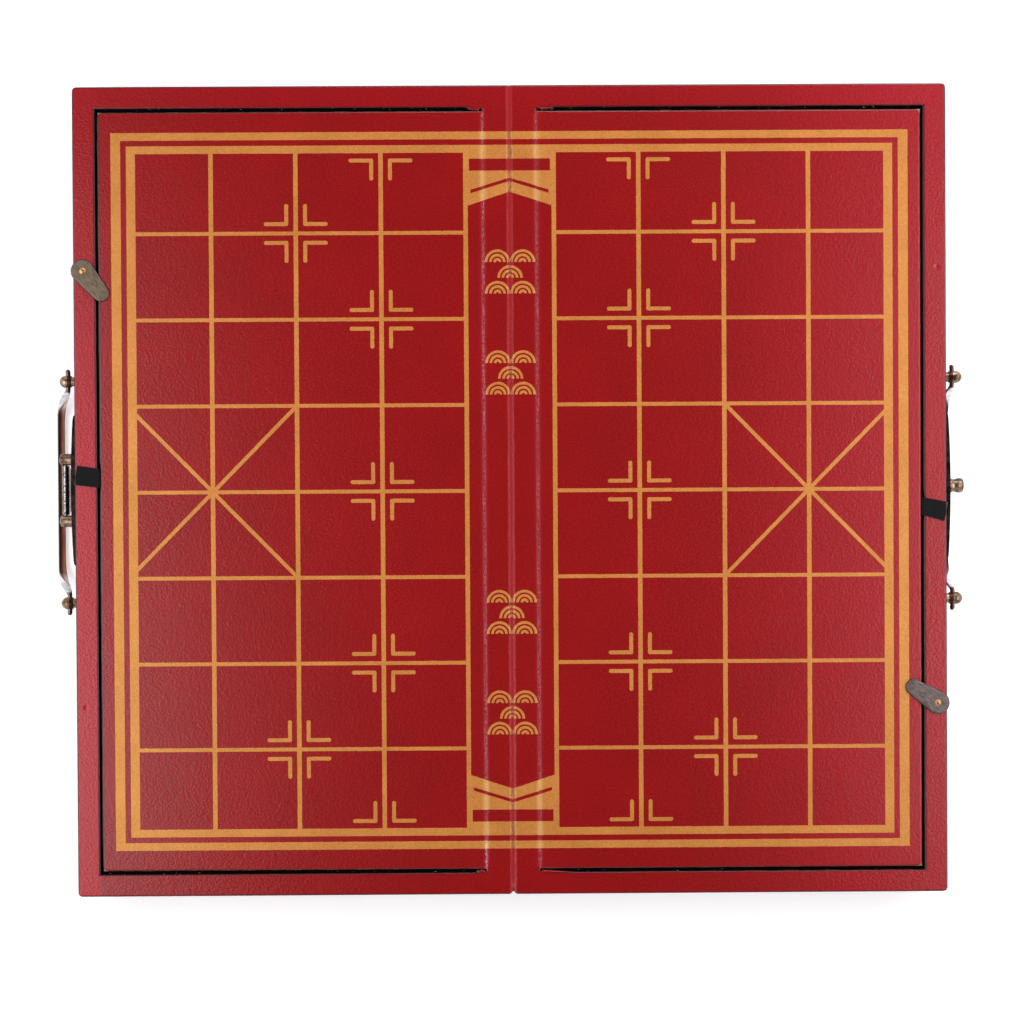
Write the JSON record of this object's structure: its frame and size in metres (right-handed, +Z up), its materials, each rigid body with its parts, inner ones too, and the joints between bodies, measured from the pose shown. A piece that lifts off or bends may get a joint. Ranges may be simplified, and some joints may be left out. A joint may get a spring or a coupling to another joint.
{
  "type": "xiangqi board case",
  "caption": "Folding board case for Chinese chess: leather-covered trays on a leather spine, with lidded compartments, turn buttons, ribbon pulls, bails and a hasp.",
  "frame": {"origin": "on the table plane, under the middle of the spine's fold line", "axes": "+X towards the right tray, +Y towards the far end of the spine, +Z up from the table"},
  "size_m": [0.3869, 0.34, 0.0338],
  "materials": {
    "red_leather": "pebble-grained PU leather, satin",
    "gold_print": "screen-printed ochre gold paint",
    "box_wood": "bare board, unseen inside the leather",
    "black_lining": "black flocked cloth",
    "black_ribbon": "woven black ribbon",
    "antique_bronze": "aged bronze, worn bright on the edges",
    "dark_bronze": "blackened bronze",
    "grey_bronze": "dull aged bronze",
    "bright_brass": "polished brass"
  },
  "bodies": {
    "right_case": {"right_base_panel": "box_wood", "right_outer_rail": "box_wood", "right_spine_rail": "box_wood", "right_far_rail": "box_wood", "right_near_rail": "box_wood", "right_side_leather": "red_leather", "right_bottom_leather": "red_leather", "right_rim_leather": "red_leather", "right_floor_lining": "black_lining", "right_wall_lining": "black_lining", "right_lid_ledge": "black_lining", "right_river_print": "gold_print", "right_button_rivet": "bright_brass", "right_escutcheon": "dark_bronze", "right_escutcheon_nails": "antique_bronze", "right_bail_posts": "antique_bronze", "latch_knob": "antique_bronze"},
    "right_lid": {"right_lid_board": "box_wood", "right_lid_leather": "red_leather", "right_lid_lining": "black_lining", "right_lid_ribbon": "black_ribbon", "right_lid_print": "gold_print"},
    "right_button": {"right_turn_button": "grey_bronze"},
    "right_bail": {"right_bail": "antique_bronze"},
    "left_case": {"left_base_panel": "box_wood", "left_outer_rail": "box_wood", "left_spine_rail": "box_wood", "left_far_rail": "box_wood", "left_near_rail": "box_wood", "left_side_leather": "red_leather", "left_bottom_leather": "red_leather", "left_rim_leather": "red_leather", "left_floor_lining": "black_lining", "left_wall_lining": "black_lining", "left_lid_ledge": "black_lining", "left_river_print": "gold_print", "left_button_rivet": "bright_brass", "left_escutcheon": "dark_bronze", "left_escutcheon_nails": "antique_bronze", "left_bail_posts": "antique_bronze", "hasp_lugs": "antique_bronze", "hasp_pin": "antique_bronze"},
    "left_lid": {"left_lid_board": "box_wood", "left_lid_leather": "red_leather", "left_lid_lining": "black_lining", "left_lid_ribbon": "black_ribbon", "left_lid_print": "gold_print"},
    "left_button": {"left_turn_button": "grey_bronze"},
    "left_bail": {"left_bail": "antique_bronze"},
    "hasp": {"hasp_flap": "antique_bronze"}
  },
  "joints": [
    {"name": "fold", "type": "hinge", "parent": "right_case", "child": "left_case", "pos_m": [0, 0, 0.033], "axis": [0, 1, 0], "range_deg": [0, 180]},
    {"name": "right_lid_crease", "type": "hinge", "parent": "right_case", "child": "right_lid", "pos_m": [0.0113, 0, 0.032], "axis": [0, 1, 0], "range_deg": [-92, 0]},
    {"name": "left_lid_crease", "type": "hinge", "parent": "left_case", "child": "left_lid", "pos_m": [-0.0113, 0, 0.032], "axis": [0, -1, 0], "range_deg": [-92, 0]},
    {"name": "right_button_turn", "type": "hinge", "parent": "right_case", "child": "right_button", "pos_m": [0.17915, -0.0902, 0.0322], "axis": [0, 0, 1], "continuous": true},
    {"name": "left_button_turn", "type": "hinge", "parent": "left_case", "child": "left_button", "pos_m": [-0.17915, 0.093, 0.0322], "axis": [0, 0, 1], "continuous": true},
    {"name": "right_bail_swing", "type": "hinge", "parent": "right_case", "child": "right_bail", "pos_m": [0.18765, 0.0002, 0.02], "axis": [0, -1, 0], "range_deg": [-8, 125]},
    {"name": "left_bail_swing", "type": "hinge", "parent": "left_case", "child": "left_bail", "pos_m": [-0.18765, 0.0002, 0.02], "axis": [0, 1, 0], "range_deg": [-28, 105]},
    {"name": "hasp_swing", "type": "hinge", "parent": "left_case", "child": "hasp", "pos_m": [-0.18805, 0.0011, 0.0255], "axis": [0, 1, 0], "range_deg": [0, 180]}
  ]
}
